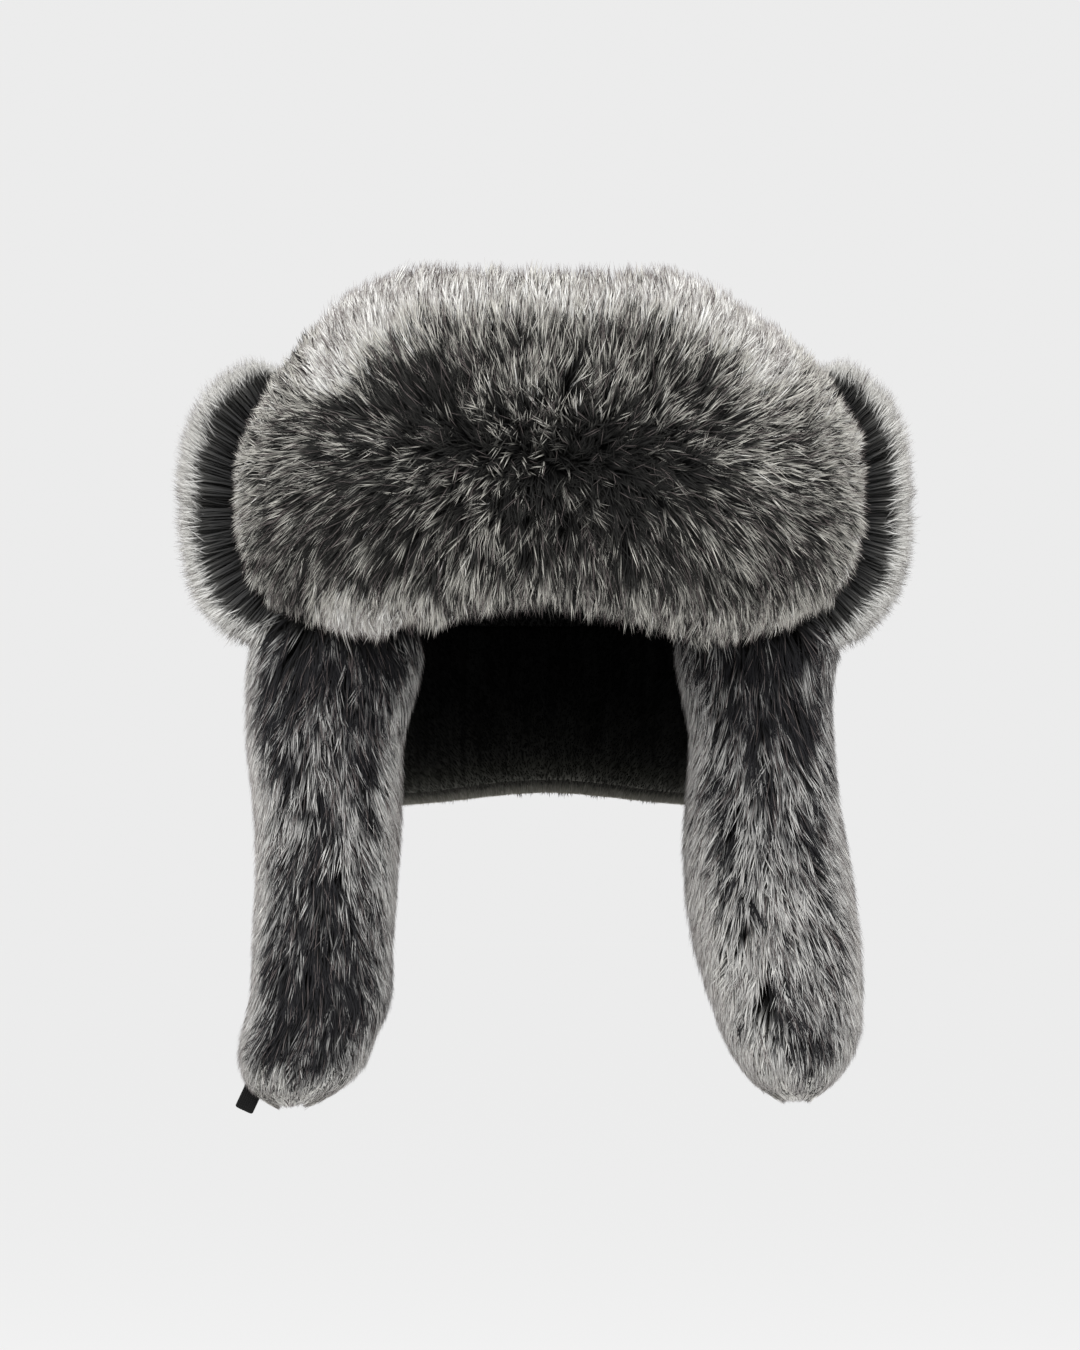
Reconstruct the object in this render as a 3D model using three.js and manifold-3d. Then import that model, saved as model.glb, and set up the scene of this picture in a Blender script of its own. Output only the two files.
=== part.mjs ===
// A fur ushanka: a padded cloth crown of four panels, a deep fur front flap turned up over the brow,
// a fur cuff round the sides and back, a cloth neck flap with fur outside it, two long fur ear flaps
// and a strap end. Millimetres, +Z up, and the front faces -Y. The origin is the middle of the head
// opening at the brow. A turn is an angle in degrees round the head: 0 at the brow, 90 at the +X ear
// and 180 at the nape.

import * as THREE from "three";
import { mergeVertices } from "three/addons/utils/BufferGeometryUtils.js";
import Module from "manifold-3d";

const wasm = await Module();
wasm.setup();

// Cloth
const HEAD = { across: 80, along: 101 }; // half widths of the head opening
const GAP = 0.4; // between neighbouring pieces
const CROWN = { wall: 5, rim: -2, top: 131, segments: 32, power: 2.4, seamDip: 0.03 };
const BROW = { raise: 5, from: 54, to: 30 }; // the rim rises between these turns, to hide behind the fur
const FACING = { wall: 2.4, turn: 76, lowInset: 13, highInset: 24, corner: 16, steps: 24 };
const NECK_FLAP = { wall: 3, steps: 18 };
const NECK_EDGE = [
  { turn: 106, low: -74 },
  { turn: 140, low: -73 },
  { turn: 180, low: -68 },
  { turn: 220, low: -73 },
  { turn: 254, low: -74 },
];
const STRAP = { width: 8, thick: 1.6, fold: 13, length: 34, end: [-127.2, -5, -205.6], lean: 25 };

// Fur stands on a core. core and root are shares of the way from the backing to the tips.
const FUR = { core: 0.8, root: 0.5 };
const LOCK = { width: 0.56, flat: 0.4, sway: 0.4, shortest: 0.93 };
const SWEEP = { turn: 9, lift: 22, limit: 88 }; // how far a roll's locks are combed, and the last lift
const HIGHEST = 80; // the lift of the highest locks on a roll

// Fur on the front flap. low and high are the heights of the tips, depth is how far they stand off.
const FRONT_FUR = [
  { turn: -79.5, low: -6, high: 108, depth: 46 },
  { turn: -66, low: -9, high: 121, depth: 45 },
  { turn: -52, low: -9, high: 136, depth: 43 },
  { turn: -38, low: -7, high: 147, depth: 41 },
  { turn: -20, low: -2, high: 149, depth: 40 },
  { turn: 0, low: 1, high: 146, depth: 40 },
  { turn: 20, low: -4, high: 148, depth: 40 },
  { turn: 38, low: -10, high: 146, depth: 41 },
  { turn: 52, low: -12, high: 135, depth: 44 },
  { turn: 66, low: -10, high: 123, depth: 46 },
  { turn: 79.5, low: -5, high: 111, depth: 48 },
];
const FRONT_ROLL = { power: 2.4, steps: 20, rows: 7, columns: 17, comb: (side, rise) => [side, rise] };

// Fur on the cuff, from the +X temple round the back to the other temple
const CUFF_FUR = [
  { turn: 80.5, low: -18, high: 112, depth: 71 },
  { turn: 105, low: -17, high: 112, depth: 70 },
  { turn: 140, low: -14, high: 109, depth: 58 },
  { turn: 180, low: -12, high: 106, depth: 52 },
  { turn: 220, low: -14, high: 109, depth: 58 },
  { turn: 255, low: -16, high: 112, depth: 70 },
  { turn: 279.5, low: -17, high: 112, depth: 71 },
];
const CUFF_ROLL = { power: 2.8, steps: 22, rows: 6, columns: 19, comb: (side, rise) => [side / 2, rise] };

// Fur outside the neck flap, below the cuff
const NECK_FUR = [
  { turn: 112, low: -80, high: 22, depth: 40 },
  { turn: 145, low: -78, high: 22, depth: 38 },
  { turn: 180, low: -74, high: 22, depth: 36 },
  { turn: 215, low: -78, high: 22, depth: 38 },
  { turn: 248, low: -80, high: 22, depth: 40 },
];
const NECK_ROLL = { power: 2.4, steps: 14, rows: 4, columns: 9, comb: () => [0, -1] };

// Ear flaps. outer and inner are the tips furthest from and nearest to the face, middle and half are
// the place and half length of the level section along Y, and tip is the lowest point.
const EAR_FLAPS = {
  ear_flap_left: {
    tip: [-107, -12, -204],
    rows: [
      { z: -2.4, outer: -125, inner: -50, middle: -2, half: 58 },
      { z: -25, outer: -127, inner: -52, middle: -2, half: 58 },
      { z: -50, outer: -127, inner: -59, middle: -3, half: 55 },
      { z: -80, outer: -125, inner: -60, middle: -5, half: 52 },
      { z: -110, outer: -124, inner: -61, middle: -8, half: 48 },
      { z: -140, outer: -125, inner: -63, middle: -10, half: 45 },
      { z: -162, outer: -126, inner: -65, middle: -11, half: 42 },
      { z: -178, outer: -130, inner: -72, middle: -12, half: 37 },
      { z: -191, outer: -129, inner: -78, middle: -12, half: 30 },
      { z: -200, outer: -122, inner: -91, middle: -12, half: 18 },
    ],
  },
  ear_flap_right: {
    tip: [105, -12, -201],
    rows: [
      { z: -2.4, outer: 121, inner: 51, middle: -2, half: 58 },
      { z: -25, outer: 121, inner: 54, middle: -2, half: 58 },
      { z: -50, outer: 121, inner: 59, middle: -3, half: 55 },
      { z: -80, outer: 125, inner: 58, middle: -5, half: 52 },
      { z: -110, outer: 130, inner: 57, middle: -8, half: 48 },
      { z: -140, outer: 133, inner: 61, middle: -10, half: 45 },
      { z: -162, outer: 133, inner: 68, middle: -11, half: 42 },
      { z: -178, outer: 132, inner: 74, middle: -12, half: 37 },
      { z: -190, outer: 126, inner: 82, middle: -12, half: 29 },
      { z: -198, outer: 118, inner: 91, middle: -12, half: 18 },
    ],
  },
};
const EAR = { core: 0.87, power: 2.5, angles: 14, rows: 8, columns: 9, drop: 26, first: -12, last: -182 };

const PAST_TIPS = 1.02; // a cut that makes room for a piece of fur, as a share of the fur's depth
const END_CUT = 0.3; // how far inside the ends of a roll's core its locks are cut flat

// Small helpers
const point = (x = 0, y = 0, z = 0) => new THREE.Vector3(x, y, z);
const radians = THREE.MathUtils.degToRad;
const range = (count, make) => Array.from({ length: count }, (_, index) => make(index));
const grow = (ellipse, size) => ({ across: ellipse.across + size, along: ellipse.along + size });

// A sine or cosine made squarer, as a superellipse of that power needs it.
const squared = (value, power) => Math.sign(value) * Math.abs(value) ** (2 / power);

// A repeatable number from -0.5 to 0.5 for each pair of counts, so that no two locks are alike.
function scatter(a, b) {
  const value = Math.sin(a * 12.9898 + b * 78.233) * 43758.5453;
  return value - Math.floor(value) - 0.5;
}

// A smooth function of one column of a table that gives all its other columns.
function smooth(table, column) {
  const rows = table.toSorted((a, b) => a[column] - b[column]);
  const names = Object.keys(rows[0]).filter((name) => name !== column);
  const blend = new THREE.CubicInterpolant(
    rows.map((row) => row[column]),
    rows.flatMap((row) => names.map((name) => row[name])),
    names.length,
    [],
  );
  return (value) => {
    const numbers = blend.evaluate(value);
    return Object.fromEntries(names.map((name, index) => [name, numbers[index]]));
  };
}

// Solids

function manifoldOf(positions, triangles) {
  return new wasm.Manifold(new wasm.Mesh({
    numProp: 3,
    vertProperties: new Float32Array(positions),
    triVerts: new Uint32Array(triangles),
  }));
}

function centreOf(points) {
  return points.reduce((sum, p) => sum.add(p), point()).divideScalar(points.length);
}

// A closed solid through a row of loops, closed at each end by a fan to a point.
function loft(loops, start = centreOf(loops[0]), end = centreOf(loops.at(-1))) {
  const size = loops[0].length;
  const points = [...loops.flat(), start, end];
  const [startIndex, endIndex] = [points.length - 2, points.length - 1];
  const lastLoop = (loops.length - 1) * size;
  const faces = [];
  for (let column = 0; column < size; column++) {
    const beside = (column + 1) % size;
    for (let near = 0; near < lastLoop; near += size) {
      const far = near + size;
      faces.push([near + column, near + beside, far + beside]);
      faces.push([near + column, far + beside, far + column]);
    }
    faces.push([startIndex, beside, column]);
    faces.push([endIndex, lastLoop + column, lastLoop + beside]);
  }
  const volume = faces.reduce((sum, [a, b, c]) =>
    sum + points[a].dot(point().crossVectors(points[b], points[c])), 0);
  const outward = volume > 0 ? faces : faces.map(([a, b, c]) => [a, c, b]);
  return manifoldOf(points.flatMap((p) => p.toArray()), outward.flat());
}

// The solid of a three.js geometry.
function solidOf(geometry) {
  const bare = mergeVertices(geometry.clone().deleteAttribute("normal").deleteAttribute("uv"));
  return manifoldOf(bare.attributes.position.array, bare.index.array);
}

const below = (solid, z) => solid.trimByPlane([0, 0, -1], -z);
const above = (solid, z) => solid.trimByPlane([0, 0, 1], z);

// The main body of a solid, without the crumbs that a cut can leave.
function mainBody(solid) {
  return solid.decompose().sort((a, b) => b.volume() - a.volume())[0];
}

// The point at a turn on an ellipse round the head, standing off it squarely.
function around(ellipse, turn, stand, z) {
  const [sine, cosine] = [Math.sin(radians(turn)), Math.cos(radians(turn))];
  const normal = point(ellipse.along * sine, -ellipse.across * cosine, 0).normalize();
  return point(ellipse.across * sine, -ellipse.along * cosine, z).addScaledVector(normal, stand);
}

// The crown: a dome sewn from four panels, whose seams pull in a little.

function domeRing(ellipse, top, share) {
  const lift = radians(90 * share);
  const rise = squared(Math.sin(lift), CROWN.power);
  const scale = squared(Math.cos(lift), CROWN.power);
  return range(CROWN.segments, (column) => {
    const turn = (360 * column) / CROWN.segments - 180;
    const [sine, cosine] = [Math.sin(radians(turn)), Math.cos(radians(turn))];
    const raised = THREE.MathUtils.smoothstep(BROW.from - Math.abs(turn), 0, BROW.from - BROW.to);
    const rim = CROWN.rim + BROW.raise * raised;
    const seam = 1 - Math.sqrt(Math.abs(2 * sine * cosine));
    const pull = scale * (1 - CROWN.seamDip * seam * Math.min(1, 3 * share));
    const z = rim + (top - rim) * rise;
    return point(ellipse.across * sine * pull, -ellipse.along * cosine * pull, z);
  });
}

const DOME_SHARES = [0, 0.16, 0.32, 0.48, 0.64, 0.82];
const CROWN_OUTSIDE = grow(HEAD, CROWN.wall);

function dome() {
  const outer = DOME_SHARES.map((share) => domeRing(CROWN_OUTSIDE, CROWN.top, share));
  const inner = DOME_SHARES.map((share) => domeRing(HEAD, CROWN.top - CROWN.wall, share));
  return loft([...outer.reverse(), ...inner], point(0, 0, CROWN.top), point(0, 0, CROWN.top - CROWN.wall));
}

// The quarter of the dome on one side of both its seams. Each way is 1 or -1.
function crownPanel(wayX, wayY) {
  return dome().trimByPlane([wayX, 0, 0], GAP / 2).trimByPlane([0, wayY, 0], GAP / 2);
}

// A cloth wall that follows an ellipse round the head, between two heights that change with the turn.
function wall(inside, thickness, from, to, steps, lowAt, highAt) {
  const outside = grow(inside, thickness);
  return loft(range(steps + 1, (step) => {
    const turn = from + ((to - from) * step) / steps;
    const [low, high] = [lowAt(turn), highAt(turn)];
    return [
      around(inside, turn, 0, low),
      around(outside, turn, 0, low),
      around(outside, turn, 0, high),
      around(inside, turn, 0, high),
    ];
  }));
}

const frontAt = smooth(FRONT_FUR, "turn");
const FACING_INSIDE = grow(CROWN_OUTSIDE, GAP);
const FACING_OUTSIDE = grow(FACING_INSIDE, FACING.wall);

// The cloth side of the front flap, with its corners rounded off near its two ends
function frontFlapFacing() {
  const round = (turn) => {
    const past = Math.max(0, Math.abs(turn) - FACING.turn + FACING.corner) / FACING.corner;
    return FACING.corner * (1 - Math.sqrt(1 - past ** 2));
  };
  const low = (turn) => frontAt(turn).low + FACING.lowInset + round(turn);
  const high = (turn) => frontAt(turn).high - FACING.highInset - round(turn);
  return wall(FACING_INSIDE, FACING.wall, -FACING.turn, FACING.turn, FACING.steps, low, high);
}

const neckEdgeAt = smooth(NECK_EDGE, "turn");

// The neck flap's wall. room makes it bigger all round, as a cut in its neighbours.
function neckFlap(room = 0) {
  const [from, to] = [NECK_EDGE[0].turn - room, NECK_EDGE.at(-1).turn + room];
  const low = (turn) => neckEdgeAt(turn).low - room;
  const high = () => CROWN.rim - GAP + room;
  return wall(grow(HEAD, -room), NECK_FLAP.wall + 2 * room, from, to, NECK_FLAP.steps, low, high);
}

// Fur

// One lock: a four-sided spike, flatter one way than the other, from a root inside the core to its tip.
function lock(root, tip, side, room = Infinity) {
  const way = tip.clone().sub(root);
  const across = side.clone().projectOnPlane(way.clone().normalize()).normalize();
  const over = point().crossVectors(way, across).normalize();
  const width = LOCK.width * way.length();
  const thick = Math.min(LOCK.flat * width, room);
  const base = [[width, 0], [0, thick], [-width, 0], [0, -thick]].map(([a, b]) =>
    root.clone().addScaledVector(across, a).addScaledVector(over, b));
  return loft([base], root, tip);
}

// A roll of fur bends round the head, so each of its points has a turn, a lift from -90 under the roll
// to 90 on top of it, and a share of the way from the backing to the tips.
function furRoll(table, backing, { power }) {
  const at = smooth(table, "turn");
  const [from, to] = [table[0].turn, table.at(-1).turn];
  const centre = (from + to) / 2;
  const stand = (turn, lift, share) =>
    share * at(turn).depth * squared(Math.cos(radians(lift)), power);
  const place = (turn, lift, share) => {
    const { low, high } = at(turn);
    const rise = (share * (high - low) * squared(Math.sin(radians(lift)), power)) / 2;
    return around(backing, turn, stand(turn, lift, share), (high + low) / 2 + rise);
  };
  return { from, to, centre, stand, place };
}

const LIFTS = [-90, -66, -42, -18, 18, 42, 66, 90];

// The solid of a roll at a share of its depth
function rollBody(roll, share, steps) {
  return loft(range(steps + 1, (step) => {
    const turn = roll.from + ((roll.to - roll.from) * step) / steps;
    return LIFTS.map((lift) => roll.place(turn, lift, share));
  }));
}

// What lies past the nearer end of a roll is cut away.
function cutAtEnd(solid, roll, turn) {
  const [end, inward] = turn < roll.centre ? [roll.from, 1] : [roll.to, -1];
  const way = roll.place(end + inward, 0, 0).sub(roll.place(end - inward, 0, 0)).setZ(0).normalize();
  return solid.trimByPlane(way.toArray(), way.dot(roll.place(end, 0, 0)) + END_CUT);
}

// The locks of a roll stand in staggered rows, and each tip is combed away from its root. comb gives
// the direction round and up from the lock's place, each from -1 to 1 across the roll.
function rollLocks(roll, { rows, columns, comb }) {
  const pitch = (roll.to - roll.from) / columns;
  return range(rows * columns, (index) => {
    const row = Math.floor(index / columns);
    const column = index % columns;
    const sway = LOCK.sway * scatter(row, column);
    const turn = roll.from + pitch * (column + 0.25 + 0.5 * (row % 2) + sway);
    const lift = HIGHEST * ((2 * (row + 0.5 + sway)) / rows - 1);
    const way = new THREE.Vector2(...comb((turn - roll.centre) / (roll.to - roll.centre), lift / HIGHEST));
    way.setLength(1);
    const tipTurn = THREE.MathUtils.clamp(turn + SWEEP.turn * way.x, roll.from, roll.to);
    const tipLift = THREE.MathUtils.clamp(lift + SWEEP.lift * way.y, -SWEEP.limit, SWEEP.limit);
    const length = LOCK.shortest + (1 - LOCK.shortest) * (scatter(column, row) + 0.5);
    const root = roll.place(turn, lift, FUR.root);
    const tip = roll.place(tipTurn, tipLift, length);
    const outward = roll.place(turn, 0, 1).sub(roll.place(turn, 0, 0));
    const side = point().crossVectors(tip.clone().sub(root), outward);
    return cutAtEnd(lock(root, tip, side, roll.stand(turn, lift, FUR.root) - 1), roll, turn);
  });
}

function furOf(roll, settings) {
  return wasm.Manifold.union([rollBody(roll, FUR.core, settings.steps), ...rollLocks(roll, settings)]);
}

const frontRoll = furRoll(FRONT_FUR, grow(FACING_OUTSIDE, GAP), FRONT_ROLL);
const cuffRoll = furRoll(CUFF_FUR, grow(CROWN_OUTSIDE, GAP), CUFF_ROLL);
const neckRoll = furRoll(NECK_FUR, grow(HEAD, NECK_FLAP.wall + GAP), NECK_ROLL);

// Ear flaps

// A function that gives a flap's points from a height, an angle round its level section and a share
// of the way from its middle to the tips.
function earShape({ rows }) {
  const at = smooth(rows, "z");
  return (z, angle, share) => {
    const { outer, inner, middle, half } = at(z);
    const cosine = squared(Math.cos(radians(angle)), EAR.power);
    const sine = squared(Math.sin(radians(angle)), EAR.power);
    const across = share * Math.abs(outer - inner) * cosine;
    return point((outer + inner + across) / 2, middle + share * half * sine, z);
  };
}

function earBody(flap, share) {
  const place = earShape(flap);
  const angles = range(EAR.angles, (step) => (360 * (step + 0.5)) / EAR.angles);
  const loops = flap.rows.map(({ z }) => angles.map((angle) => place(z, angle, share)));
  return loft(loops, centreOf(loops[0]), point(...flap.tip));
}

// The locks of an ear flap hang, each with its tip below its root.
function earLocks(flap) {
  const place = earShape(flap);
  const lowest = flap.rows.at(-1).z;
  return range(EAR.rows * EAR.columns, (index) => {
    const row = Math.floor(index / EAR.columns);
    const column = index % EAR.columns;
    const sway = LOCK.sway * scatter(row, column + EAR.columns);
    const angle = (360 * (column + 0.5 * (row % 2) + sway)) / EAR.columns;
    const z = EAR.first + ((EAR.last - EAR.first) * (row + sway)) / (EAR.rows - 1);
    const root = place(Math.min(z, EAR.first), angle, FUR.root);
    const tip = place(Math.max(z - EAR.drop, lowest), angle, 1);
    const side = place(z, angle + 4, 1).sub(place(z, angle - 4, 1));
    return lock(root, tip, side);
  });
}

function earFlap(flap) {
  const fur = wasm.Manifold.union([earBody(flap, EAR.core), ...earLocks(flap)]);
  const cuts = [rollBody(frontRoll, PAST_TIPS, FRONT_ROLL.steps), neckFlap(GAP), strapEnd(GAP)];
  return mainBody(cuts.reduce((solid, cut) => solid.subtract(cut), below(fur, CROWN.rim - GAP)));
}

// The strap's free end, folded double over its last stretch and held in the left ear flap's fur.
// room makes it bigger all round, as a cut in the fur.
function strapEnd(room = 0) {
  const { width, thick, fold, length, end, lean } = STRAP;
  const side = new THREE.Shape();
  side.moveTo(-room, -room);
  side.lineTo(2 * thick + room, -room);
  side.lineTo(2 * thick + room, fold + room);
  side.lineTo(thick + room, fold + thick + room);
  side.lineTo(thick + room, length + room);
  side.lineTo(-room, length + room);
  const geometry = new THREE.ExtrudeGeometry(side, { depth: width + 2 * room, bevelEnabled: false });
  geometry.translate(0, 0, -width / 2 - room);
  geometry.rotateX(Math.PI / 2);
  geometry.rotateZ(Math.PI / 2);
  geometry.rotateY(radians(lean));
  geometry.translate(...end);
  return solidOf(geometry);
}

// Materials
const paint = (color, roughness) => new THREE.MeshStandardMaterial({ color, roughness, metalness: 0 });
const GREY_FUR = paint(0x77736f, 0.9);
const DARK_FUR = paint(0x5c5855, 0.9);
const BLACK_CLOTH = paint(0x161617, 0.85);
const BLACK_PLUSH = paint(0x0b0b0c, 0.95);
const WEBBING = paint(0x151716, 0.7);

function meshOf(name, solid, material) {
  const { numProp, numVert, vertProperties, triVerts } = solid.getMesh();
  const corners = range(numVert, (index) => vertProperties.subarray(index * numProp, index * numProp + 3));
  const geometry = new THREE.BufferGeometry();
  geometry.setAttribute("position", new THREE.Float32BufferAttribute(corners.flatMap((c) => [...c]), 3));
  geometry.setIndex(Array.from(triVerts));
  geometry.computeVertexNormals();
  const mesh = new THREE.Mesh(geometry, material);
  mesh.name = name;
  return mesh;
}

// The hat
const hat = new THREE.Group();
for (const [side, wayX] of [["left", -1], ["right", 1]]) {
  hat.add(meshOf(`crown_front_${side}`, crownPanel(wayX, -1), BLACK_CLOTH));
  hat.add(meshOf(`crown_back_${side}`, crownPanel(wayX, 1), BLACK_CLOTH));
}
hat.add(meshOf("front_flap_facing", frontFlapFacing(), BLACK_CLOTH));
hat.add(meshOf("front_flap_fur", mainBody(furOf(frontRoll, FRONT_ROLL)), GREY_FUR));
hat.add(meshOf("cuff_fur", mainBody(above(furOf(cuffRoll, CUFF_ROLL), CROWN.rim)), GREY_FUR));
hat.add(meshOf("neck_flap", neckFlap(), BLACK_PLUSH));
for (const [name, flap] of Object.entries(EAR_FLAPS)) hat.add(meshOf(name, earFlap(flap), GREY_FUR));

const neckFur = Object.values(EAR_FLAPS).reduce(
  (fur, flap) => fur.subtract(earBody(flap, PAST_TIPS)), below(furOf(neckRoll, NECK_ROLL), CROWN.rim - GAP));
hat.add(meshOf("neck_fur", mainBody(neckFur), DARK_FUR));
hat.add(meshOf("strap_end", strapEnd(), WEBBING));

export default hat;
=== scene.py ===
import math

import bpy
import numpy as np
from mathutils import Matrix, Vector


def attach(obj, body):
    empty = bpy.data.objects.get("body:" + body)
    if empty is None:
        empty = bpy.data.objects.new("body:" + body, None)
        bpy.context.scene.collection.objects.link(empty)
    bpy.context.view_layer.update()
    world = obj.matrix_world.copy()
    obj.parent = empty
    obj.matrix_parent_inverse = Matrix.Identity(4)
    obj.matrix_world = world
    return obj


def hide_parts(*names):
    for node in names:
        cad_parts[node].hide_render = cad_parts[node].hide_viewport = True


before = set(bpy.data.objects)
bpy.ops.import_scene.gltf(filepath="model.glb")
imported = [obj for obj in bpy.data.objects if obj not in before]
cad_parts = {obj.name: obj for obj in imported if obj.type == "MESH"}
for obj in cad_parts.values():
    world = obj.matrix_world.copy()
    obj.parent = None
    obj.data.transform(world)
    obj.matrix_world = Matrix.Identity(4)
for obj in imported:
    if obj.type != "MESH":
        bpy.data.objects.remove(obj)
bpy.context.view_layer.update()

# A fur ushanka, dressed round its CAD solids. Sizes are in millimetres until a mesh is made, and the
# front faces -Y. A turn is an angle in degrees round the head, 0 at the brow and 90 at the +X ear. A
# lift runs from -90 under a roll of fur to 90 on top of it. A share is how far a point lies from a
# piece's backing, 0, to its fur tips, 1.

MM = 0.001
rng = np.random.default_rng(41)

# Sizes of the pieces, as in the CAD solids. Only the tables of the fur differ, by 5 mm or less, and
# the cuff's fall is here alone.

HEAD = np.array([80.0, 101.0])  # half widths of the head opening
GAP = 0.4  # between neighbouring pieces
CROWN_WALL, CROWN_RIM, CROWN_TOP, CROWN_POWER = 5, -2, 131, 2.4
CROWN_SEAM_PULL = 0.03  # how far the crown pulls in at its seams, as a share of its radius
BROW = {"raise": 5, "from": 54, "to": 30}  # the rim rises between these turns
FACING_WALL, FACING_TURN, FACING_CORNER = 2.4, 76, 16
FACING_INSET = (13, 24)  # how far the cloth ends inside the fur's lowest and highest tips
NECK_WALL = 3
NECK_TURNS = (106, 254)  # the ends of the neck flap
NECK_EDGE = [(106, -74), (140, -73), (180, -68), (220, -73), (254, -74)]  # turn, lowest
STRAP = {"width": 8, "thick": 1.6, "fold": 13, "length": 34, "end": (-127.2, -5, -205.6), "lean": 25}

# Rolls of fur: turn, lowest tips, highest tips, depth
FRONT_FUR = [
    (-79.5, -6, 103.5, 46), (-66, -9, 121.5, 45), (-52, -9, 139, 43), (-38, -7, 146.5, 41),
    (-20, -2, 146, 40), (0, 1, 145, 40), (20, -4, 146, 40), (38, -10, 143.5, 41),
    (52, -12, 132.5, 44), (66, -10, 124, 46), (79.5, -5, 109, 49),
]
CUFF_FUR = [
    (80.5, -19, 117, 69.5), (105, -17, 112, 69.5), (140, -14, 109, 58), (180, -12, 106, 52),
    (220, -14, 109, 58), (255, -16, 112, 70), (279.5, -18, 116.5, 72),
]
NECK_FUR = [
    (112, -80, 22, 40), (145, -78, 22, 38), (180, -74, 22, 36), (215, -78, 22, 38), (248, -80, 22, 40),
]
FRONT_POWER, CUFF_POWER, NECK_POWER = 2.4, 2.8, 2.4  # how square each roll's section is
CUFF_FALL = {"depth": 7, "from": 60, "to": 76}  # the top falls towards the crown between these lifts

# Ear flaps: z, outer edge, inner edge, middle along Y, half length along Y
EAR_ROWS = {
    "ear_flap_left": [
        (-2.4, -125, -50, -2, 58), (-25, -127, -52, -2, 58), (-50, -127, -59, -3, 55),
        (-80, -124, -60, -5, 52), (-110, -123, -62, -8, 48), (-140, -124.5, -64, -10, 45),
        (-162, -125.5, -65, -11, 42), (-178, -130, -72, -12, 37), (-191, -129, -78, -12, 30),
        (-200, -122, -91, -12, 18), (-204, -112, -102, -12, 6),
    ],
    "ear_flap_right": [
        (-2.4, 122, 51, -2, 58), (-14, 124, 52.5, -2, 58), (-25, 121, 54, -2, 58),
        (-50, 121, 59, -3, 55), (-80, 124, 57, -5, 52), (-110, 129.5, 56.5, -8, 48),
        (-140, 133, 61, -10, 45), (-162, 133, 68, -11, 42), (-178, 131.5, 74, -12, 37),
        (-190, 125, 82, -12, 29), (-198, 116, 91, -12, 18), (-201.5, 109, 100, -12, 6),
    ],
}
EAR_POWER = 2.5


# Geometry

def sine_cosine(degrees):
    return np.sin(np.radians(degrees)), np.cos(np.radians(degrees))


def squared(value, power):
    """A sine or cosine made squarer, as a superellipse of that power needs it."""
    return np.sign(value) * np.abs(value) ** (2 / power)


def smooth(table):
    """A smooth function of a table's first column that gives each of its other columns."""
    table = np.array(sorted(table), float)
    x, y = table[:, 0], table[:, 1:]
    step = np.diff(x)[:, None]
    slope = np.diff(y, axis=0) / step
    tangent = np.concatenate([slope[:1], (slope[1:] + slope[:-1]) / 2, slope[-1:]])

    def at(value):
        value = np.clip(value, x[0], x[-1])
        i = np.clip(np.searchsorted(x, value) - 1, 0, len(x) - 2)
        p, h = ((value - x[i]) / step[i, 0])[..., None], step[i]
        a = y[i] * (1 + 2 * p) + tangent[i] * h * p
        b = y[i + 1] * (3 - 2 * p) - tangent[i + 1] * h * (1 - p)
        return np.moveaxis(a * (1 - p) ** 2 + b * p**2, -1, 0)

    return at


def around(ellipse, turn, stand, z):
    """The point at a turn on an ellipse round the head, standing off it squarely."""
    sine, cosine = sine_cosine(turn)
    normal = np.stack([ellipse[1] * sine, -ellipse[0] * cosine], -1)
    normal /= np.linalg.norm(normal, axis=-1, keepdims=True)
    flat = np.stack([ellipse[0] * sine, -ellipse[1] * cosine], -1)
    flat = flat + normal * np.asarray(stand)[..., None]
    return np.concatenate([flat, np.broadcast_to(z, flat.shape[:-1])[..., None]], -1)


def roll(table, backing, power):
    """A roll of fur round the head: a function of the turn, lift and share."""
    at = smooth(table)

    def place(turn, lift, share):
        low, high, depth = at(turn)
        sine, cosine = sine_cosine(lift)
        z = (high + low) / 2 + share * (high - low) / 2 * squared(sine, power)
        return around(backing, turn, share * depth * squared(np.maximum(cosine, 0), power), z)

    return place


def ear(rows):
    """An ear flap: a function of the angle round its level section, the height and the share."""
    at = smooth(rows)

    def place(angle, z, share):
        outer, inner, middle, half = at(z)
        sine, cosine = squared(np.stack(sine_cosine(angle)), EAR_POWER)
        x = (outer + inner + share * np.abs(outer - inner) * cosine) / 2
        return np.stack(np.broadcast_arrays(x, middle + share * half * sine, z), -1)

    return place


CROWN_OUTSIDE = HEAD + CROWN_WALL
FACING_INSIDE = CROWN_OUTSIDE + GAP
FACING_OUTSIDE = FACING_INSIDE + FACING_WALL
front_roll = roll(FRONT_FUR, FACING_OUTSIDE + GAP, FRONT_POWER)
full_cuff_roll = roll(CUFF_FUR, CROWN_OUTSIDE + GAP, CUFF_POWER)
neck_roll = roll(NECK_FUR, HEAD + NECK_WALL + GAP, NECK_POWER)
ears = {name: ear(rows) for name, rows in EAR_ROWS.items()}


# Mesh making. A chunk is its points, the corners of all its faces, the faces' sizes and the corners'
# places on the map.

def grid_faces(rows, columns, wrap=False):
    """The corners of the faces of a grid of points, four to a face."""
    index = np.arange(rows * columns).reshape(rows, columns)
    beside = np.roll(index, -1, 1) if wrap else index[:, 1:]
    here = index if wrap else index[:, :-1]
    return np.stack([here[:-1], beside[:-1], beside[1:], here[1:]], -1).reshape(-1, 4)


def sheet_chunk(points, uv, wrap=False):
    faces = grid_faces(*points.shape[:2], wrap)
    corners = faces.reshape(-1)
    return points.reshape(-1, 3), corners, np.full(len(faces), 4), uv.reshape(-1, 2)[corners]


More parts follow.
